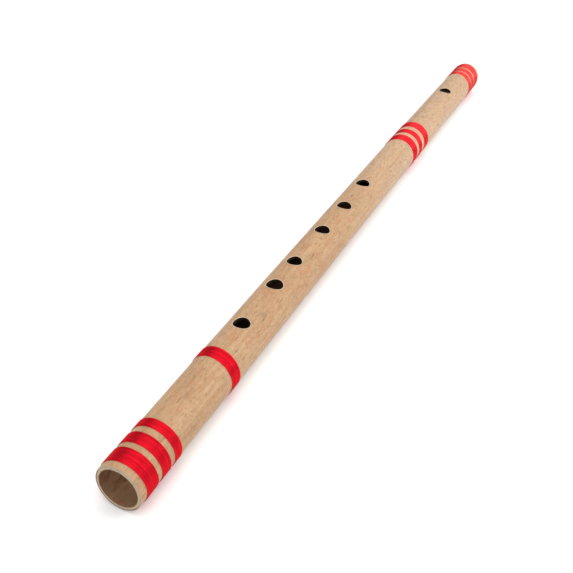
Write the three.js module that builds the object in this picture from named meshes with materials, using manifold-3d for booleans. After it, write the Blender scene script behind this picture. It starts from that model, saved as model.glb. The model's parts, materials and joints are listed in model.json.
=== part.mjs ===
// A side-blown bamboo flute (bansuri): a bamboo tube open at both ends with six finger holes and
// a blow hole, ten bands of thread wound round it, and a cork stopper in the head of its bore.
//
// Millimetres, +Z up. The flute lies along X on its bindings: foot at -X, head at +X, holes up.
// The origin is halfway along it, on the surface that it lies on.
import * as THREE from "three";
import { mergeVertices } from "three/addons/utils/BufferGeometryUtils.js";
import Module from "manifold-3d";

// Every turned piece has flat sides, with one facing straight down, so the flute lies still.
const SIDES = 48;

// The bamboo tube. Stations are distances from the foot's end face.
const TUBE_LENGTH = 616.2;
const TUBE_RADIUS = 13.5;
const BORE_RADIUS = 11.5;
const RIM_BREAK = 0.4; // chamfer on both edges of each end face

// The burnt holes, from foot to head, in one line along the top of the tube to within a
// millimetre. Half lengths are along the flute, half widths across it, and turns are in degrees
// from the top of the tube, towards +Y.
const FINGER_HOLES = [
  { station: 124.7, halfLength: 5.1, halfWidth: 5.3, turn: 2 },
  { station: 168.2, halfLength: 5.3, halfWidth: 5.5, turn: 2.5 },
  { station: 197.5, halfLength: 5.1, halfWidth: 5.1, turn: 3.8 },
  { station: 241.5, halfLength: 5.1, halfWidth: 5.3, turn: 1.8 },
  { station: 279.9, halfLength: 5.2, halfWidth: 5.4, turn: -0.6 },
  { station: 318.2, halfLength: 5.2, halfWidth: 5.3, turn: 2 },
];
const BLOW_HOLE = { station: 531.6, halfLength: 5.3, halfWidth: 5.7, turn: -1.6 };
const HOLE_SIDES = 24;

// The thread bindings, from foot to head.
const THREAD_THICKNESS = 0.45;
const BINDING_CLEARANCE = 0.05; // between the thread and the bamboo
const BINDING_ROUNDING = 0.2; // at both ends of a binding, where its last turns lie lower
const BINDINGS = [
  { name: "foot_binding_1", start: 5.6, width: 9.6 },
  { name: "foot_binding_2", start: 18.8, width: 7.7 },
  { name: "foot_binding_3", start: 30.7, width: 6.2 },
  { name: "lower_binding", start: 89.5, width: 9 },
  { name: "upper_binding_1", start: 403.9, width: 10 },
  { name: "upper_binding_2", start: 419.5, width: 7.4 },
  { name: "upper_binding_3", start: 433.5, width: 10.3 },
  { name: "head_binding_1", start: 579.3, width: 7.2 },
  { name: "head_binding_2", start: 589, width: 8.1 },
  { name: "head_binding_3", start: 600.1, width: 10.9 },
];

// The cork stopper, whose inner face closes the air column just past the blow hole.
const STOPPER_SETBACK = 14; // from the blow hole's centre to the stopper's inner face
const STOPPER_LENGTH = 24;
const STOPPER_CLEARANCE = 0.3; // all round, in the bore
const STOPPER_TAPER = 0.3; // how much smaller the radius of its inner end is
const STOPPER_CHAMFER = 1;

const BAMBOO = { color: 0xd1ae84, roughness: 0.62, metalness: 0 };
const THREAD = { color: 0xdc1424, roughness: 0.38, metalness: 0 };
const CORK = { color: 0xb98d5e, roughness: 0.9, metalness: 0 };

const wasm = await Module();
wasm.setup();

// A closed mesh as a solid that can be joined and cut.
function toSolid(geometry) {
  const bare = geometry.clone();
  bare.deleteAttribute("normal");
  bare.deleteAttribute("uv");
  const merged = mergeVertices(bare, 1e-4);
  const mesh = new wasm.Mesh({
    numProp: 3,
    vertProperties: merged.attributes.position.array,
    triVerts: new Uint32Array(merged.index.array),
  });
  return new wasm.Manifold(mesh);
}

function toGeometry(solid) {
  const mesh = solid.getMesh();
  const geometry = new THREE.BufferGeometry();
  geometry.setAttribute("position", new THREE.BufferAttribute(mesh.vertProperties, 3));
  geometry.setIndex(new THREE.BufferAttribute(mesh.triVerts, 1));
  geometry.computeVertexNormals();
  return geometry;
}

// Turns an outline of [radius, station] points round the Y axis. The middles of the flat sides,
// not the corners between them, lie at the given radii.
function turned(outline) {
  const cornerRatio = 1 / Math.cos(Math.PI / SIDES);
  const points = outline.map(([radius, station]) => new THREE.Vector2(radius * cornerRatio, station));
  return new THREE.LatheGeometry(points, SIDES, Math.PI / SIDES);
}

// A ring's outline, closed on itself, with each of its four edges cut off by its own break.
function ringOutline(innerRadius, outerRadius, length, innerBreak, outerBreak) {
  return [
    [innerRadius, innerBreak],
    [innerRadius + innerBreak, 0],
    [outerRadius - outerBreak, 0],
    [outerRadius, outerBreak],
    [outerRadius, length - outerBreak],
    [outerRadius - outerBreak, length],
    [innerRadius + innerBreak, length],
    [innerRadius, length - innerBreak],
    [innerRadius, innerBreak],
  ];
}

// A round or oval punch that goes through the upper wall of the tube only.
function holePunch({ station, halfLength, halfWidth, turn }) {
  const punch = new THREE.CylinderGeometry(1, 1, TUBE_RADIUS, HOLE_SIDES);
  punch.rotateX(Math.PI / 2);
  punch.scale(halfWidth, halfLength, 1);
  punch.translate(0, station, TUBE_RADIUS);
  punch.rotateY(-THREE.MathUtils.degToRad(turn));
  return toSolid(punch);
}

function bambooTube() {
  const outline = ringOutline(BORE_RADIUS, TUBE_RADIUS, TUBE_LENGTH, RIM_BREAK, RIM_BREAK);
  const punches = [...FINGER_HOLES, BLOW_HOLE].map(holePunch);
  const tube = punches.reduce((rest, punch) => rest.subtract(punch), toSolid(turned(outline)));
  return toGeometry(tube);
}

function binding(width) {
  const innerRadius = TUBE_RADIUS + BINDING_CLEARANCE;
  const outerRadius = TUBE_RADIUS + THREAD_THICKNESS;
  return turned([
    [innerRadius, 0],
    [outerRadius - BINDING_ROUNDING, 0],
    [outerRadius, BINDING_ROUNDING],
    [outerRadius, width - BINDING_ROUNDING],
    [outerRadius - BINDING_ROUNDING, width],
    [innerRadius, width],
    [innerRadius, 0],
  ]);
}

function corkStopper() {
  const outerRadius = BORE_RADIUS - STOPPER_CLEARANCE;
  const innerEndRadius = outerRadius - STOPPER_TAPER;
  return turned([
    [0, 0],
    [innerEndRadius - STOPPER_CHAMFER, 0],
    [innerEndRadius, STOPPER_CHAMFER],
    [outerRadius, STOPPER_LENGTH - STOPPER_CHAMFER],
    [outerRadius - STOPPER_CHAMFER, STOPPER_LENGTH],
    [0, STOPPER_LENGTH],
  ]);
}

// A named piece whose foot-side end is at a station along the flute.
function piece(name, geometry, finish, station) {
  const mesh = new THREE.Mesh(geometry, new THREE.MeshStandardMaterial(finish));
  mesh.name = name;
  mesh.position.y = station;
  return mesh;
}

// The pieces are laid out along the group's Y axis, which the group turns onto X.
const flute = new THREE.Group();
flute.name = "bamboo_flute";
flute.rotation.z = -Math.PI / 2;
flute.position.set(-TUBE_LENGTH / 2, 0, TUBE_RADIUS + THREAD_THICKNESS);

flute.add(piece("bamboo_tube", bambooTube(), BAMBOO, 0));
for (const { name, start, width } of BINDINGS) {
  flute.add(piece(name, binding(width), THREAD, start));
}
flute.add(piece("cork_stopper", corkStopper(), CORK, BLOW_HOLE.station + STOPPER_SETBACK));

export default flute;
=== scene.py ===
"""Looks of the bamboo flute: its bamboo, wound thread and cork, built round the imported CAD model.

Metres, +Z up. The flute lies along X on its bindings: foot at -X, head at +X, holes up. Angles
round the flute are from the top, towards +Y.
"""

import json
import math

import bmesh
import bpy
import numpy as np
from mathutils import Matrix, Vector, noise


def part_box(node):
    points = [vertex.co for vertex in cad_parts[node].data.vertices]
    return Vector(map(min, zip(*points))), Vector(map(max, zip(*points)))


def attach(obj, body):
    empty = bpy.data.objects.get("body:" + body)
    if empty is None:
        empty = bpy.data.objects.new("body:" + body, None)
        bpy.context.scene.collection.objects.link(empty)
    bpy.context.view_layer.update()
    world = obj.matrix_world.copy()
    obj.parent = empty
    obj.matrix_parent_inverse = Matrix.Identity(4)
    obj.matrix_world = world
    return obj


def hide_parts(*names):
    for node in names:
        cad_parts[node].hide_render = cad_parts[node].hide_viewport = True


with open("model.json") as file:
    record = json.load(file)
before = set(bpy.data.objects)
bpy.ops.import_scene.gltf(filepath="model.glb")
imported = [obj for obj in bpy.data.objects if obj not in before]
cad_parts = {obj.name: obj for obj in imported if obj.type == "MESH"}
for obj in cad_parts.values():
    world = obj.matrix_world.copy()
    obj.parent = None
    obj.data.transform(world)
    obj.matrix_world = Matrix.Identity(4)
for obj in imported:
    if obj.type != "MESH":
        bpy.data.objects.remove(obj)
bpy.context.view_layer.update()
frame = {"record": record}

MM = 0.001
TURN = 2 * math.pi

# ---------------------------------------------------------------- sizes from the CAD model
TUBE_LOW, TUBE_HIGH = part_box("bamboo_tube")
FOOT_X = TUBE_LOW.x
HEAD_X = TUBE_HIGH.x
AXIS_Z = (TUBE_LOW.z + TUBE_HIGH.z) / 2
TUBE_R = (TUBE_HIGH.y - TUBE_LOW.y) / 2
WALL = 2.05 * MM  # the culm's, a little thicker than the CAD tube's
BORE_R = TUBE_R - WALL
BINDINGS = [node for node in frame["record"]["behaviour"]["bodies"]["flute"] if "binding" in node]

# Half length along the flute, half width across it, and how far it's turned from the top, in
# degrees. Their places along the flute are the CAD openings'.
HOLE_SHAPES = {
    "finger_hole_1": (5.1 * MM, 5.3 * MM, 2.0),
    "finger_hole_2": (5.3 * MM, 5.5 * MM, 2.5),
    "finger_hole_3": (5.1 * MM, 5.1 * MM, 3.8),
    "finger_hole_4": (5.1 * MM, 5.3 * MM, 1.8),
    "finger_hole_5": (5.2 * MM, 5.4 * MM, -0.6),
    "finger_hole_6": (5.2 * MM, 5.3 * MM, 2.0),
    "blow_hole": (5.3 * MM, 5.7 * MM, -1.6),
}


# ---------------------------------------------------------------- camera, floor and light
CAMERA_PLACE = (-0.49735, -0.1617, 0.3191)
CAMERA_AZIMUTH = -66.58
CAMERA_ELEVATION = 36.69
CAMERA_ROLL = 4.27
CAMERA_LENS_MM = 49.37
CAMERA_SENSOR_MM = 36.0

WORLD_LIGHT = 0.62
# Each soft box: watts, width, then distance, azimuth and elevation from the middle of the flute.
SOFT_BOXES = {
    "top_box": (13.0, 1.6, 1.2, 90, 86),
    "glint_box": (7.5, 0.7, 1.2, -68, 33),
    "fill_box": (13.0, 1.6, 2.5, 190, 40),
}
FLOOR_REACH = 6.0


def make_camera():
    """Looks down the flute from beyond its foot, on the -Y side."""
    data = bpy.data.cameras.new("camera")
    data.lens = CAMERA_LENS_MM
    data.sensor_width = CAMERA_SENSOR_MM
    data.clip_start = 0.01
    camera = bpy.data.objects.new("camera", data)
    bpy.context.scene.collection.objects.link(camera)
    swing = Matrix.Rotation(math.radians(CAMERA_AZIMUTH), 4, "Z")
    tip = Matrix.Rotation(math.radians(90 - CAMERA_ELEVATION), 4, "X")
    roll = Matrix.Rotation(math.radians(CAMERA_ROLL), 4, "Z")
    camera.matrix_world = Matrix.Translation(CAMERA_PLACE) @ swing @ tip @ roll
    bpy.context.scene.camera = camera


def make_floor(material):
    """A plain square that the flute lies on."""
    r = FLOOR_REACH
    mesh = bpy.data.meshes.new("floor")
    mesh.from_pydata([(-r, -r, 0), (r, -r, 0), (r, r, 0), (-r, r, 0)], [], [(0, 1, 2, 3)])
    mesh.materials.append(material)
    floor = bpy.data.objects.new("floor", mesh)
    bpy.context.scene.collection.objects.link(floor)


def make_light():
    """Even white surroundings, with soft boxes above, on the -Y side and beyond the foot."""
    world = bpy.data.worlds.new("studio")
    world.use_nodes = True
    sky = world.node_tree.nodes["Background"]
    sky.inputs["Color"].default_value = (1, 1, 1, 1)
    sky.inputs["Strength"].default_value = WORLD_LIGHT
    bpy.context.scene.world = world

    for name, (watts, width, distance, azimuth, elevation) in SOFT_BOXES.items():
        data = bpy.data.lights.new(name, "AREA")
        data.energy = watts
        data.size = width
        box = bpy.data.objects.new(name, data)
        turn, rise = math.radians(azimuth), math.radians(elevation)
        flat = math.cos(rise)
        away = Vector((flat * math.cos(turn), flat * math.sin(turn), math.sin(rise))) * distance
        box.location = Vector((0, 0, AXIS_Z)) + away
        box.rotation_euler = (-away).to_track_quat("-Z", "Y").to_euler()
        bpy.context.scene.collection.objects.link(box)
    bpy.context.scene.view_settings.view_transform = "Standard"


# ---------------------------------------------------------------- the culm's natural shape
# How far the bamboo's skin stands out from the tube's nominal radius, by distance from the foot.
SWELL_STATIONS = np.array([0, 40, 108, 202, 297, 405, 513, 615]) * MM
SWELL = np.array([0.0, -0.10, 0.10, 0.15, 0.05, 0.13, -0.15, -0.15]) * MM
BOW = 0.97 * MM  # how far the middle of the culm is off the line between its ends
BOW_Y, BOW_Z = 0.88, 0.47  # the bow's direction
BORE_STRAIGHTENS = (0.15, 0.225)  # between these x, so that the stopper fits and slides
SKIN_WAVE = 0.07 * MM  # how far the skin waves in and out
SKIN_WAVES = (22, 0.9)  # its noise, per metre along the flute and per radius round it
BORE_WAVE = 0.1 * MM
BORE_WAVES = (35, 1.6)
BORE_SHIFT = 9  # keeps the bore's noise apart from the skin's


def smooth_step(value, low, high):
    """From 0 at low to 1 at high, level at both."""
    t = min(max((value - low) / (high - low), 0.0), 1.0)
    return t * t * (3 - 2 * t)


def swell(x):
    """How far the skin stands out at x."""
    station = x - FOOT_X
    k = int(np.clip(np.searchsorted(SWELL_STATIONS, station) - 1, 0, len(SWELL) - 2))
    part = smooth_step(station, SWELL_STATIONS[k], SWELL_STATIONS[k + 1])
    return float(SWELL[k] + (SWELL[k + 1] - SWELL[k]) * part)


def bow(x):
    """How far the culm's axis is off the straight line at x."""
    middle = (FOOT_X + HEAD_X) / 2
    return BOW * (1 - ((x - middle) / (HEAD_X - middle)) ** 2)


def skin_radius(x, angle):
    along, around = SKIN_WAVES
    place = Vector((x * along, math.sin(angle) * around, math.cos(angle) * around))
    return TUBE_R + swell(x) + SKIN_WAVE * noise.noise(place)


def bore_radius(x, angle):
    along, around = BORE_WAVES
    place = Vector((x * along + BORE_SHIFT, math.sin(angle) * around, math.cos(angle) * around))
    wave = BORE_WAVE * (1 - smooth_step(x, *BORE_STRAIGHTENS))
    return BORE_R + wave * noise.noise(place)


def bowed(x, across, up, amount=1.0):
    """The point at x, that far across and up from the culm's own axis."""
    lift = bow(x) * amount
    return Vector((x, across + BOW_Y * lift, AXIS_Z + up + BOW_Z * lift))


def skin_point(x, angle, sunk=0.0):
    """A point on the skin, or sunk below it."""
    r = skin_radius(x, angle) - sunk
    return bowed(x, r * math.sin(angle), r * math.cos(angle))


def bore_point(x, angle, raised=0.0):
    """A point on the bore, or raised into the wall."""
    r = bore_radius(x, angle) + raised
    straight = smooth_step(x, *BORE_STRAIGHTENS)
    return bowed(x, r * math.sin(angle), r * math.cos(angle), 1 - straight)


# ---------------------------------------------------------------- mesh help
QUARTER = [math.radians(90 * k / 4) for k in range(5)]  # the steps of a rounded edge


class Surface:
    """The vertices, faces and face materials of one piece."""

    def __init__(self):
        self.points = []
        self.faces = []
        self.materials = []
        # The second mark is painted shade with some grime, on the ends' edges.
        self.marks = {"wear": [], "grime": []}  # from 0 to 1 at each vertex

    def add(self, point, wear=0.0, grime=0.0):
        self.points.append(point)
        self.marks["wear"].append(wear)
        self.marks["grime"].append(grime)
        return len(self.points) - 1

    def ring(self, points, wear=0.0, grime=0.0):
        return [self.add(point, wear, grime) for point in points]

    def face(self, corners, material=0):
        self.faces.append(corners)
        self.materials.append(material)

    def bridge(self, ring_a, ring_b, material=0):
        """Four-sided faces between two rings of as many vertices."""
        count = len(ring_a)
        for k in range(count):
            n = (k + 1) % count
            self.face((ring_a[k], ring_a[n], ring_b[n], ring_b[k]), material)

    def to_object(self, name, materials):
        mesh = bpy.data.meshes.new(name)
        mesh.from_pydata(self.points, [], self.faces)
        mesh.polygons.foreach_set("material_index", self.materials)
        mesh.polygons.foreach_set("use_smooth", [True] * len(self.faces))
        for material in materials:
            mesh.materials.append(material)
        for mark, values in self.marks.items():
            if any(values):
                layer = mesh.attributes.new(mark, "FLOAT", "POINT")
                layer.data.foreach_set("value", values)
        made = bpy.data.objects.new(name, mesh)
        bpy.context.scene.collection.objects.link(made)
        clean_up(mesh)
        return made


def clean_up(mesh):
    """Drops vertices that no face uses, and turns every face outwards."""
    work = bmesh.new()
    work.from_mesh(mesh)
    loose = [v for v in work.verts if not v.link_faces]
    bmesh.ops.delete(work, geom=loose, context="VERTS")
    bmesh.ops.recalc_face_normals(work, faces=work.faces)
    work.to_mesh(mesh)
    work.free()


# ---------------------------------------------------------------- the bamboo tube
AROUND = 96
STEP = 3 * MM
ANGLES = [TURN * j / AROUND for j in range(AROUND)]
SKIN, CUT, BORE, BURNT = range(4)  # the tube's material slots

# The foot is cut a little askew: its end face leans by these slopes across and up the flute.
FOOT_SLOPE_Y, FOOT_SLOPE_Z = 0.020, 0.057
FOOT_LEAN = TUBE_R * math.hypot(FOOT_SLOPE_Y, FOOT_SLOPE_Z)
HEAD_SLOPE = 0.085  # the head's end face leans too, reaching furthest at this angle:
HEAD_TURN = math.radians(62)
END_ZONE = 4.5 * MM  # each end's own part of the tube, beyond the grid
RIM_ROUND = 0.8 * MM  # on the outer edge of both ends
BORE_ROUND = 0.25 * MM  # on the inner edge of both ends
CUT_ROUGHNESS = 0.06 * MM
DARKEST_EDGE_TURN = math.radians(155)  # the ends' edges are darkest here: painted shade underneath, with some dirt

# Each hole sits in a rectangular patch, where the tube's grid gives way to rings round the hole.
PATCH_HALF_LENGTH = 8 * MM
PATCH_CELLS = 12  # along the patch
PATCH_TURNS = 9  # half the patch's width, in steps of the grid
HOLE_ROUND = 0.2 * MM
WEAR_REACH = 0.5 * MM  # how far the skin is rubbed pale round a hole


def hole_list():
    """(x, half length, half width, turn) of each hole, from foot to head."""
    openings = frame["record"]["physics"]["openings"]
    boxes = {opening["name"]: opening["box_m"] for opening in openings}
    holes = []
    for name, (half_length, half_width, turn) in HOLE_SHAPES.items():
        low, high = boxes[name]
        x = (low[0] + high[0]) / 2
        holes.append((x, half_length, half_width, math.radians(turn)))
    return sorted(holes)


def tube_stations(holes):
    """The x of each ring of the grid. Patches lie between whole stations."""
    edges = [FOOT_X + END_ZONE]
    for x, *_ in holes:
        edges += [x - PATCH_HALF_LENGTH, x + PATCH_HALF_LENGTH]
    edges.append(HEAD_X - END_ZONE)
    stations = []
    for k in range(len(edges) - 1):
        length = edges[k + 1] - edges[k]
        cells = PATCH_CELLS if k % 2 else round(length / STEP)
        stations += [edges[k] + length * cell / cells for cell in range(cells)]
    return stations + [edges[-1]]


def foot_end(angle, radius):
    """The x of the foot's end face."""
    lean = FOOT_SLOPE_Y * math.sin(angle) + FOOT_SLOPE_Z * math.cos(angle)
    return FOOT_X + FOOT_LEAN + radius * lean


def head_end(angle, radius):
    """The x of the head's end face."""
    return HEAD_X - HEAD_SLOPE * (TUBE_R - radius * math.cos(angle - HEAD_TURN))


def edge_shade_and_dirt_at(angle):
    """How dark the ends' edges are painted: most underneath, on the far side from the holes, partly
    as painted shade where the edge faces away from the light and partly as dirt.
    """
    return 0.2 + 0.8 * smooth_step(math.cos(angle - DARKEST_EDGE_TURN), -0.3, 0.6)


def make_rim(surface, skin_ring, bore_ring, end_of, inward):
    """One end: a rounded outer edge, the cut face, and a slightly rounded inner edge."""

    def outer_edge(turn):
        sunk = RIM_ROUND * (1 - math.cos(turn))
        back = inward * RIM_ROUND * (1 - math.sin(turn))
        return [skin_point(end_of(a, TUBE_R) + back, a, sunk) for a in ANGLES]

    def inner_edge(turn):
        raised = BORE_ROUND * (1 - math.sin(turn))
        back = inward * BORE_ROUND * (1 - math.cos(turn))
        return [bore_point(end_of(a, BORE_R) + back, a, raised) for a in ANGLES]

    def cut_face(part):
        points = []
        for a in ANGLES:
            outer = skin_point(end_of(a, TUBE_R), a, RIM_ROUND)
            inner = bore_point(end_of(a, BORE_R), a, BORE_ROUND)
            point = outer.lerp(inner, part)
            point.x += inward * CUT_ROUGHNESS * abs(noise.noise(point / MM))
            points.append(point)
        return points

    def ring(points, darkening=0.0):
        return [surface.add(p, grime=darkening * edge_shade_and_dirt_at(a)) for p, a in zip(points, ANGLES)]

    by_rim = [skin_point(end_of(a, TUBE_R) + inward * 2 * RIM_ROUND, a) for a in ANGLES]
    # The ends' edges get painted shade with some dirt, strongest on the outer rounding and
    # underneath.
    rings = [skin_ring, ring(by_rim, 0.15)]
    rings += [ring(outer_edge(turn), 0.6 + 0.4 * math.sin(turn)) for turn in QUARTER]
    rings += [ring(cut_face(part), 0.7 - part) for part in (0.2, 0.4, 0.6)]
    rings += [ring(inner_edge(turn)) for turn in QUARTER]
    rings.append(bore_ring)
    last = len(rings) - 2
    for k in range(last + 1):
        material = SKIN if k < 3 else CUT if k < last else BORE
        surface.bridge(rings[k], rings[k + 1], material)


def patch_loop(first_station):
    """The grid places round a patch, in order, as (station, step round the tube)."""
    last_station = first_station + PATCH_CELLS
    turns = range(-PATCH_TURNS, PATCH_TURNS)
    loop = [(i, -PATCH_TURNS) for i in range(first_station, last_station)]
    loop += [(last_station, j) for j in turns]
    loop += [(i, PATCH_TURNS) for i in range(last_station, first_station, -1)]
    loop += [(first_station, -j) for j in turns]
    return loop


class Hole:
    """One hole, with the directions of its patch's grid places seen from its centre."""

    def __init__(self, size, stations):
        self.x, self.half_length, self.half_width, self.turn = size
        start = self.x - PATCH_HALF_LENGTH
        first = min(range(len(stations)), key=lambda i: abs(stations[i] - start))
        self.loop = patch_loop(first)
        self.edge = [(stations[i] - self.x, ANGLES[j % AROUND]) for i, j in self.loop]
        self.edge = [(along, a - TURN if a > math.pi else a) for along, a in self.edge]
        self.directions = [math.atan2(a * TUBE_R, along) for along, a in self.edge]

    def outline(self, grow):
        """Points (along, across) of the hole's outline, grown by some distance."""
        for d in self.directions:
            along = (self.half_length + grow) * math.cos(d)
            yield along, (self.half_width + grow) * math.sin(d)

    def lip(self, surface_point, grow, sunk):
        """Points on the skin or the bore round the hole, sunk into the wall."""
        points = []
        for along, across in self.outline(grow):
            angle = self.turn + math.asin(across / TUBE_R)
            point = surface_point(self.x + along, angle)
            points.append(point - Vector((0, 0, sunk)))
        return points

    def spread(self, surface_point, grow, part):
        """A ring part of the way from the patch's square edge to the hole."""
        points = []
        for (edge_along, edge_angle), (along, across) in zip(self.edge, self.outline(grow)):
            angle = self.turn + math.asin(across / TUBE_R)
            x = self.x + edge_along + (along - edge_along) * part
            points.append(surface_point(x, edge_angle + (angle - edge_angle) * part))
        return points


def cut_hole(surface, hole, skin_grid, bore_grid):
    """The skin round a hole, its rounded edge and burnt wall, and the bore round it."""
    rings = [[skin_grid[i][j % AROUND] for i, j in hole.loop]]
    for part in (0.3, 0.55, 0.75, 0.9):
        rings.append(surface.ring(hole.spread(skin_point, HOLE_ROUND, part)))
    rings.append(surface.ring(hole.lip(skin_point, HOLE_ROUND + WEAR_REACH, 0)))
    for turn in (0, math.radians(45), math.radians(90)):
        grow = HOLE_ROUND * (1 - math.sin(turn))
        sunk = HOLE_ROUND * (1 - math.cos(turn))
        rings.append(surface.ring(hole.lip(skin_point, grow, sunk), wear=1.0))
    kinds = [SKIN] * (len(rings) - 1)
    top = hole.lip(skin_point, 0, HOLE_ROUND)
    bottom = hole.lip(bore_point, 0, 0)
    for part in (0.1, 0.4, 0.7, 1.0):
        rings.append(surface.ring([a.lerp(b, part) for a, b in zip(top, bottom)]))
        kinds.append(BURNT)
    for part in (0.75, 0.4):
        rings.append(surface.ring(hole.spread(bore_point, 0, part)))
        kinds.append(BORE)
    rings.append([bore_grid[i][j % AROUND] for i, j in hole.loop])
    kinds.append(BORE)
    for k, kind in enumerate(kinds):
        surface.bridge(rings[k], rings[k + 1], kind)


def make_tube(materials):
    """The culm: a grid of skin and bore, with a hole cut in each patch and a rim at each end."""
    surface = Surface()
    sizes = hole_list()
    stations = tube_stations(sizes)
    skin_grid = [surface.ring([skin_point(x, a) for a in ANGLES]) for x in stations]
    bore_grid = [surface.ring([bore_point(x, a) for a in ANGLES]) for x in stations]

    def in_patch(i, j):
        middle = (stations[i] + stations[i + 1]) / 2
        by_hole = any(abs(middle - x) < PATCH_HALF_LENGTH for x, *_ in sizes)
        return by_hole and (j < PATCH_TURNS or j >= AROUND - PATCH_TURNS)

    for grid, kind in ((skin_grid, SKIN), (bore_grid, BORE)):
        for i in range(len(stations) - 1):
            for j in range(AROUND):
                if not in_patch(i, j):
                    n = (j + 1) % AROUND
                    corners = (grid[i][j], grid[i][n], grid[i + 1][n], grid[i + 1][j])
                    surface.face(corners, kind)
    for size in sizes:
        cut_hole(surface, Hole(size, stations), skin_grid, bore_grid)
    make_rim(surface, skin_grid[0], bore_grid[0], foot_end, 1)
    make_rim(surface, skin_grid[-1], bore_grid[-1], head_end, -1)
    return surface.to_object("bamboo_culm", materials)


# ---------------------------------------------------------------- the wound thread
THREAD_PITCH = 0.44 * MM
THREAD_HALF_WIDTH = 0.235 * MM
THREAD_HALF_HEIGHT = 0.21 * MM
THREAD_STEPS = 72  # in one turn
THREAD_SIDES = 8
THREAD_START = math.radians(152)  # where both ends are tucked in, away from the holes
TUCK = 0.08  # how much of a turn an end takes to dive under its neighbours
TUCK_DEPTH = 2.2 * THREAD_HALF_HEIGHT
CROSSING = 0.2  # how much of a turn the thread takes to step over to its next lane
SLANTS = {"foot_binding_3": 0.2 * MM, "lower": 0.9 * MM, "upper": 0.6 * MM, "head": 1.6 * MM}
SLANT_TURN = math.radians(62)  # a slanting binding reaches furthest towards the head here
THREAD_WANDER = 0.06 * MM
THREAD_LIFT = 0.03 * MM


def slant_of(node):
    """How far along the flute a binding leans, either way from its middle."""
    return sum(slant for part, slant in SLANTS.items() if node.startswith(part))


def thread_centre(low, high, turn, turns, slant, seed):
    """The thread's (x, angle, height over the skin), that many turns from its start."""
    angle = TURN * turn + THREAD_START
    y, z = math.sin(angle), math.cos(angle)
    wander = THREAD_WANDER * noise.noise(Vector((y * 1.3, z * 1.3, turn * 0.9 + seed)))
    lift = THREAD_LIFT * noise.noise(Vector((y * 2.1, z * 2.1, turn * 1.7 - seed)))
    step = (high.x - low.x - 2 * THREAD_HALF_WIDTH) / (turns - 1)
    lane = min(int(turn), turns - 1)
    if lane < turns - 1:
        lane += smooth_step(turn - lane, 1 - CROSSING, 1)
    x = low.x + THREAD_HALF_WIDTH + step * lane + wander + slant * math.cos(angle - SLANT_TURN)
    tucked = max(0.0, 1 - min(turn, turns - turn) / TUCK)
    height = THREAD_HALF_HEIGHT - TUCK_DEPTH * tucked**2 + lift
    return x, angle, height


def make_thread(node, material, seed):
    """One binding: a single thread, wound side by side round the bamboo."""
    low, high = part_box(node)
    turns = 1 + round((high.x - low.x - 2 * THREAD_HALF_WIDTH) / THREAD_PITCH)
    steps = turns * THREAD_STEPS
    slant = slant_of(node)
    surface = Surface()
    rings = []
    for k in range(steps + 1):
        x, angle, height = thread_centre(low, high, k / THREAD_STEPS, turns, slant, seed)
        ring = []
        for side in range(THREAD_SIDES):
            s = TURN * side / THREAD_SIDES
            sunk = -height - THREAD_HALF_HEIGHT * math.cos(s)
            point = skin_point(x, angle, sunk)
            point.x += THREAD_HALF_WIDTH * math.sin(s)
            ring.append(surface.add(point))
        rings.append(ring)
    for k in range(steps):
        surface.bridge(rings[k], rings[k + 1])
    surface.face(tuple(rings[0]))
    surface.face(tuple(rings[-1]))
    thread = surface.to_object(node + "_thread", [material])
    lay_thread_uv(thread.data)
    return thread


def lay_thread_uv(mesh):
    """Gives the thread a map: millimetres along it, and turns round its own section."""
    uv = mesh.uv_layers.new(name="thread")
    for face in mesh.polygons:
        sides = [v % THREAD_SIDES for v in face.vertices]
        wraps = 0 in sides and THREAD_SIDES - 1 in sides
        for corner, v, side in zip(face.loop_indices, face.vertices, sides):
            if wraps and side == 0:
                side = THREAD_SIDES
            along = (v // THREAD_SIDES) * TURN * TUBE_R / MM / THREAD_STEPS
            uv.data[corner].uv = (along, side / THREAD_SIDES)


# ---------------------------------------------------------------- the cork
CORK_AROUND = 96
CORK_ROUND = 0.9 * MM
CORK_TAPER = 0.3 * MM
CORK_GAP = 0.05 * MM  # all round, between the cork's wide end and the bore
CORK_PIT = 1.3 * MM  # how deep its pits go, for each unit of noise over the floor
CORK_PIT_FLOOR = 0.28
CORK_PIT_WAVES = 700  # per metre
CORK_FACE_RINGS = 10
CORK_SIDE_RINGS = 30


def cork_profile(low, high):
    """The cork's outline as (radius, x) from the centre of one end to the other's."""
    outer = BORE_R - CORK_GAP
    inner = outer - CORK_TAPER
    faces, sides = CORK_FACE_RINGS, CORK_SIDE_RINGS
    profile = [((inner - CORK_ROUND) * k / faces, low.x) for k in range(1, faces)]
    for turn in QUARTER:
        r = inner - CORK_ROUND * (1 - math.sin(turn))
        profile.append((r, low.x + CORK_ROUND * (1 - math.cos(turn))))
    start, end = low.x + CORK_ROUND, high.x - CORK_ROUND
    for k in range(1, sides):
        profile.append((inner + (outer - inner) * k / sides, start + (end - start) * k / sides))
    for turn in reversed(QUARTER):
        r = outer - CORK_ROUND * (1 - math.sin(turn))
        profile.append((r, high.x - CORK_ROUND * (1 - math.cos(turn))))
    profile += [((outer - CORK_ROUND) * k / faces, high.x) for k in range(faces - 1, 0, -1)]
    return profile


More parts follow.
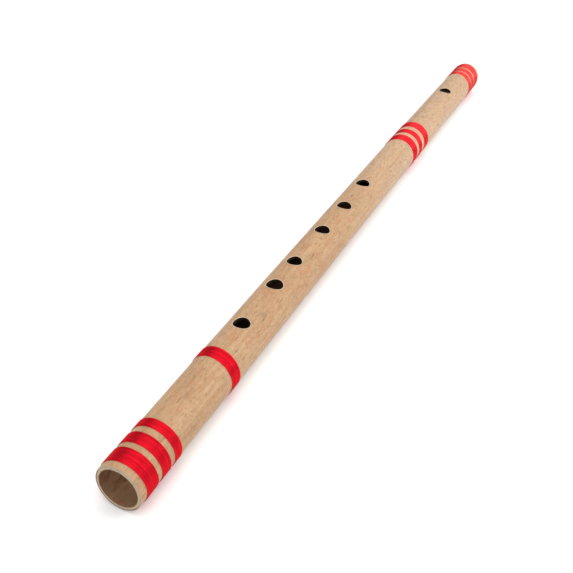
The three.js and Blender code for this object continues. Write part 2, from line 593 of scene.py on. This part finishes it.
def make_cork(material):
    """The stopper: a slightly tapered cork, with pits in its sides and ends."""
    low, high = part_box("cork_stopper")
    middle = Vector(((low.x + high.x) / 2, 0, AXIS_Z))

    def pitted(r, x, angle):
        point = Vector((x, r * math.sin(angle), AXIS_Z + r * math.cos(angle)))
        cell = noise.noise(point * CORK_PIT_WAVES + Vector((3, 5, 7)))
        pit = max(0.0, cell - CORK_PIT_FLOOR) * CORK_PIT
        return point + (middle - point).normalized() * pit

    surface = Surface()
    rings = []
    for r, x in cork_profile(low, high):
        points = [pitted(r, x, TURN * j / CORK_AROUND) for j in range(CORK_AROUND)]
        rings.append(surface.ring(points))
    for k in range(len(rings) - 1):
        surface.bridge(rings[k], rings[k + 1])
    for ring, x in ((rings[0], low.x), (rings[-1], high.x)):
        centre = surface.add(pitted(0, x, 0))
        for j in range(CORK_AROUND):
            surface.face((ring[j], ring[(j + 1) % CORK_AROUND], centre))
    return surface.to_object("cork_plug", [material])


# ---------------------------------------------------------------- material help
def rgb(red, green, blue):
    """A screen colour, 0 to 255 each, as the linear numbers that shaders take."""

    def linear(value):
        v = value / 255
        return v / 12.92 if v <= 0.04045 else ((v + 0.055) / 1.055) ** 2.4

    return (linear(red), linear(green), linear(blue), 1.0)


class Nodes:
    """A short way to write a material's node tree."""

    def __init__(self, name):
        self.material = bpy.data.materials.new(name)
        self.material.use_nodes = True
        self.tree = self.material.node_tree
        self.shader = self.tree.nodes["Principled BSDF"]

    def feed(self, socket, value):
        """Links a socket's value, or sets a plain one."""
        if isinstance(value, bpy.types.NodeSocket):
            self.tree.links.new(value, socket)
        else:
            socket.default_value = value

    def add(self, kind, **inputs):
        made = self.tree.nodes.new(kind)
        for key, value in inputs.items():
            self.feed(made.inputs[key.replace("_", " ")], value)
        return made

    def shade(self, **inputs):
        for key, value in inputs.items():
            self.feed(self.shader.inputs[key.replace("_", " ")], value)

    def place(self):
        """Where the shaded point is on its piece, in metres."""
        return self.add("ShaderNodeTexCoord").outputs["Object"]

    def noise(self, vector, scales, detail=3.0, roughness=0.5, distortion=0.0):
        """Noise with its own number of waves per metre along X, Y and Z."""
        spread = self.add("ShaderNodeMapping", Vector=vector)
        spread.inputs["Scale"].default_value = scales
        made = self.add(
            "ShaderNodeTexNoise",
            Vector=spread.outputs["Vector"],
            Scale=1.0,
            Detail=detail,
            Roughness=roughness,
            Distortion=distortion,
        )
        return made.outputs["Fac"]

    def ramp(self, value, low, high, out_low=0.0, out_high=1.0):
        """A smooth step between two values."""
        made = self.add("ShaderNodeMapRange", Value=value)
        made.interpolation_type = "SMOOTHSTEP"
        made.inputs["From Min"].default_value = low
        made.inputs["From Max"].default_value = high
        made.inputs["To Min"].default_value = out_low
        made.inputs["To Max"].default_value = out_high
        return made.outputs["Result"]

    def mark(self, name, low, high, most=1.0):
        """A mark painted on the mesh, from 0 to most."""
        made = self.add("ShaderNodeAttribute")
        made.attribute_name = name
        return self.ramp(made.outputs["Fac"], low, high, 0.0, most)

    def mix(self, factor, a, b):
        made = self.tree.nodes.new("ShaderNodeMix")
        made.data_type = "RGBA"
        self.feed(made.inputs["Factor"], factor)
        colours = [socket for socket in made.inputs if socket.type == "RGBA"]
        self.feed(colours[0], a)
        self.feed(colours[1], b)
        return next(socket for socket in made.outputs if socket.type == "RGBA")

    def math(self, operation, a, b=0.0):
        made = self.tree.nodes.new("ShaderNodeMath")
        made.operation = operation
        self.feed(made.inputs[0], a)
        self.feed(made.inputs[1], b)
        return made.outputs[0]

    def bump(self, height, distance, strength=1.0):
        made = self.add("ShaderNodeBump", Height=height, Distance=distance, Strength=strength)
        return made.outputs["Normal"]


# ---------------------------------------------------------------- materials
# Marks on the bamboo: distance from the foot, angle round the flute, reach and colour.
BLEMISHES = (
    (460 * MM, -7, 2.8 * MM, rgb(108, 82, 56)),
    (139 * MM, -28, 4.0 * MM, rgb(136, 116, 96)),
)


def grain_tone(n, place, fibres, mottle):
    """Tan, paler towards the head, with strands, soft mottling, grey stains and dark flecks."""
    strands = n.noise(place, (18, 420, 420))
    clouds = n.noise(place, (40, 95, 95), distortion=0.6)
    spots = n.noise(place, (330, 620, 620), detail=2, roughness=0.4)
    stains = n.noise(place, (70, 150, 150), detail=4, roughness=0.6, distortion=0.8)
    streaks = n.noise(place, (9, 260, 260), detail=2)
    warmth = n.noise(place, (130, 190, 190), detail=4, roughness=0.6)
    specks = n.noise(place, (520, 900, 900), detail=2, roughness=0.5)
    flecks = n.noise(place, (120, 780, 780), detail=1)
    along = n.add("ShaderNodeSeparateXYZ", Vector=place).outputs["X"]
    headward = n.ramp(along, -0.2 * HEAD_X, 0.3 * HEAD_X, 0, 0.5)

    tan = n.mix(n.ramp(clouds, 0.35, 0.65), rgb(168, 134, 99), rgb(176, 142, 107))
    tan = n.mix(n.ramp(warmth, 0.46, 0.64, 0, 0.7), tan, rgb(171, 123, 87))
    tan = n.mix(headward, tan, rgb(194, 170, 145))
    tan = n.mix(n.ramp(strands, 0.45, 0.7, 0, 0.5), tan, rgb(190, 159, 122))
    tan = n.mix(n.ramp(fibres, 0.3, 0.7, 0, 0.3), tan, rgb(152, 117, 82))
    tan = n.mix(n.ramp(mottle, 0.5, 0.66, 0, 0.42), tan, rgb(148, 108, 75))
    tan = n.mix(n.ramp(specks, 0.52, 0.68, 0, 0.4), tan, rgb(135, 102, 73))
    tan = n.mix(n.ramp(stains, 0.56, 0.74, 0, 0.45), tan, rgb(137, 116, 93))
    tan = n.mix(n.ramp(spots, 0.6, 0.72, 0, 0.3), tan, rgb(116, 88, 64))
    tan = n.mix(n.ramp(streaks, 0.6, 0.72, 0, 0.25), tan, rgb(128, 97, 70))
    return n.mix(n.ramp(flecks, 0.66, 0.76, 0, 0.6), tan, rgb(112, 80, 54))


def add_dye(n, tan, place):
    """Red dye from the thread, in the bamboo of the upper group of bindings and the head's."""
    along = n.add("ShaderNodeSeparateXYZ", Vector=place).outputs["X"]
    for part in ("upper", "head"):
        group = [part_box(node) for node in BINDINGS if node.startswith(part)]
        start = min(low.x for low, _ in group)
        end = max(high.x for _, high in group)
        dyed = n.math("MINIMUM", n.ramp(along, start - MM, start), n.ramp(along, end + MM, end))
        tan = n.mix(n.math("MULTIPLY", dyed, 0.4), tan, rgb(214, 152, 127))
    return tan


def add_blemishes(n, tan, place, mottle):
    """Spots with ragged edges."""
    for station, angle, reach, colour in BLEMISHES:
        away = n.add("ShaderNodeVectorMath", Vector=place)
        away.operation = "DISTANCE"
        away.inputs[1].default_value = skin_point(FOOT_X + station, math.radians(angle))
        ragged = n.math("ADD", away.outputs["Value"], n.math("MULTIPLY", mottle, reach))
        tan = n.mix(n.ramp(ragged, 1.4 * reach, 0.6 * reach, 0, 0.7), tan, colour)
    return tan


def bamboo_skin():
    """The culm's outside: its grain, dye, blemishes, wear round its holes, and painted shade with
    some grime on its ends' edges.
    """
    n = Nodes("bamboo_skin")
    place = n.place()
    fibres = n.noise(place, (70, 1900, 1900), detail=4, roughness=0.6)
    mottle = n.noise(place, (230, 480, 480), detail=5, roughness=0.65)
    tan = grain_tone(n, place, fibres, mottle)
    tan = add_dye(n, tan, place)
    tan = add_blemishes(n, tan, place, mottle)
    tan = n.mix(n.mark("wear", 0.0, 1.0, 0.8), tan, rgb(217, 194, 165))
    # Painted shade with some grime on the ends' outer edges, darkest underneath.
    tan = n.mix(n.mark("grime", 0.0, 1.0, 0.9), tan, rgb(69, 62, 44))

    relief = n.math("ADD", n.math("MULTIPLY", fibres, 0.6), n.math("MULTIPLY", mottle, 0.4))
    n.shade(
        Base_Color=tan,
        Roughness=n.ramp(mottle, 0.3, 0.7, 0.42, 0.58),
        Specular_IOR_Level=0.25,
        Normal=n.bump(relief, 0.06 * MM, 0.5),
    )
    return n.material


def bamboo_cut():
    """The sawn ends: pale at the bore's edge, darkening towards the rounded outer edge with painted
    shade and some dirt, most underneath.
    """
    n = Nodes("bamboo_cut")
    place = n.place()
    grain = n.noise(place, (2600, 2600, 2600), detail=2)
    wear = n.noise(place, (420, 420, 420))
    bundles = n.add("ShaderNodeTexVoronoi", Vector=place, Scale=1500.0).outputs["Distance"]
    tone = n.mix(n.ramp(grain, 0.3, 0.7), rgb(162, 140, 114), rgb(184, 162, 136))
    tone = n.mix(n.ramp(bundles, 0.12, 0.3, 0.6, 0), tone, rgb(115, 88, 62))
    tone = n.mix(n.ramp(wear, 0.45, 0.68, 0, 0.5), tone, rgb(138, 123, 110))
    # Painted shade with some dirt on the rounded outer edge, darkest underneath.
    tone = n.mix(n.mark("grime", 0.0, 1.0, 0.9), tone, rgb(72, 64, 46))
    n.shade(Base_Color=tone, Roughness=0.75, Normal=n.bump(grain, 0.08 * MM, 0.7))
    return n.material


def bamboo_bore():
    """The bare inside: brown, with faint fibres and redder blotches; painted light makes it paler
    just inside the open foot, and painted shade darker deeper in.
    """
    n = Nodes("bamboo_bore")
    place = n.place()
    fibres = n.noise(place, (60, 1200, 1200))
    blotches = n.noise(place, (110, 200, 200), distortion=0.5)
    tone = n.mix(n.ramp(fibres, 0.3, 0.7), rgb(116, 86, 60), rgb(132, 101, 72))
    inside = n.add("ShaderNodeSeparateXYZ", Vector=place).outputs["X"]
    # Painted light: paler just inside the open foot, where light gets in.
    painted_foot_light = n.ramp(inside, FOOT_X, FOOT_X + 24 * MM, 0, 0.85)
    tone = n.mix(painted_foot_light, tone, rgb(216, 172, 130))
    # Painted shade: darker deeper in the bore, away from the open foot.
    tone = n.mix(n.ramp(inside, FOOT_X + 40 * MM, FOOT_X + 90 * MM), tone, rgb(92, 68, 46))
    tone = n.mix(n.ramp(blotches, 0.48, 0.68, 0, 0.7), tone, rgb(124, 78, 52))
    n.shade(Base_Color=tone, Roughness=0.7, Normal=n.bump(fibres, 0.12 * MM, 0.6))
    return n.material


def burnt_wall():
    """The walls of the holes, burnt with a hot rod."""
    n = Nodes("burnt_wall")
    ash = n.noise(n.place(), (1800, 1800, 1800))
    tone = n.mix(n.ramp(ash, 0.35, 0.7), rgb(22, 18, 13), rgb(44, 36, 26))
    n.shade(
        Base_Color=tone,
        Roughness=0.85,
        Specular_IOR_Level=0.15,
        Normal=n.bump(ash, 0.15 * MM, 0.8),
    )
    return n.material


PLY_TWIST = 1.4  # millimetres along the thread for one turn of its two plies


def red_thread():
    """Shiny red thread: two plies twisted together, of many fine fibres."""
    n = Nodes("red_thread")
    uv = n.add("ShaderNodeUVMap")
    uv.uv_map = "thread"
    place = uv.outputs["UV"]
    fibres = n.noise(place, (0.5, 14, 1), roughness=0.6)
    slow = n.noise(place, (0.05, 0.6, 1), detail=2)
    parts = n.add("ShaderNodeSeparateXYZ", Vector=place)
    phase = n.math("MULTIPLY", parts.outputs["X"], TURN / PLY_TWIST)
    phase = n.math("ADD", phase, n.math("MULTIPLY", parts.outputs["Y"], 2 * TURN))
    plies = n.math("SINE", phase)

    red = n.mix(n.ramp(fibres, 0.3, 0.7), rgb(202, 12, 34), rgb(230, 22, 46))
    red = n.mix(n.ramp(slow, 0.4, 0.6, 0, 0.5), red, rgb(166, 2, 20))
    # Painted sheen: the thread is paler and pinker towards the head, where its bindings catch more
    # highlight.
    along = n.add("ShaderNodeSeparateXYZ", Vector=n.place()).outputs["X"]
    red = n.mix(n.ramp(along, 0.0, HEAD_X, 0, 0.6), red, rgb(224, 84, 78))
    relief = n.math("ADD", fibres, n.math("MULTIPLY", plies, 0.35))
    n.shade(
        Base_Color=red,
        Roughness=0.34,
        Metallic=0.85,
        Specular_IOR_Level=1.0,
        Specular_Tint=(0.6, 0.34, 0.3, 1.0),
        Normal=n.bump(relief, 0.02 * MM, 0.4),
    )
    return n.material


def stopper_cork():
    """Cork: warm tan grain, with dark pores and pits."""
    n = Nodes("stopper_cork")
    place = n.place()
    grain = n.noise(place, (900, 900, 900), detail=4, roughness=0.65)
    spots = n.noise(place, (700, 700, 700), detail=2, distortion=0.6)
    pores = n.add("ShaderNodeTexVoronoi", Vector=place, Scale=650.0).outputs["Distance"]
    tone = n.mix(n.ramp(grain, 0.3, 0.7), rgb(172, 128, 86), rgb(205, 164, 118))
    tone = n.mix(n.ramp(pores, 0.1, 0.35, 0.5, 0), tone, rgb(128, 86, 54))
    tone = n.mix(n.ramp(spots, 0.6, 0.7, 0, 0.75), tone, rgb(84, 52, 32))
    n.shade(Base_Color=tone, Roughness=0.88, Normal=n.bump(grain, 0.25 * MM, 0.6))
    return n.material


def pale_floor():
    """A plain matt white."""
    n = Nodes("pale_floor")
    n.shade(Base_Color=(0.92, 0.92, 0.92, 1.0), Roughness=0.9, Specular_IOR_Level=0.1)
    return n.material


# ---------------------------------------------------------------- the scene
make_camera()
make_floor(pale_floor())
make_light()

tube = make_tube([bamboo_skin(), bamboo_cut(), bamboo_bore(), burnt_wall()])
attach(tube, "flute")
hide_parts("bamboo_tube")

thread_material = red_thread()
for number, node in enumerate(BINDINGS):
    thread = make_thread(node, thread_material, seed=number * 3.7)
    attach(thread, "flute")
    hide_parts(node)

cork = make_cork(stopper_cork())
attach(cork, "stopper")
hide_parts("cork_stopper")
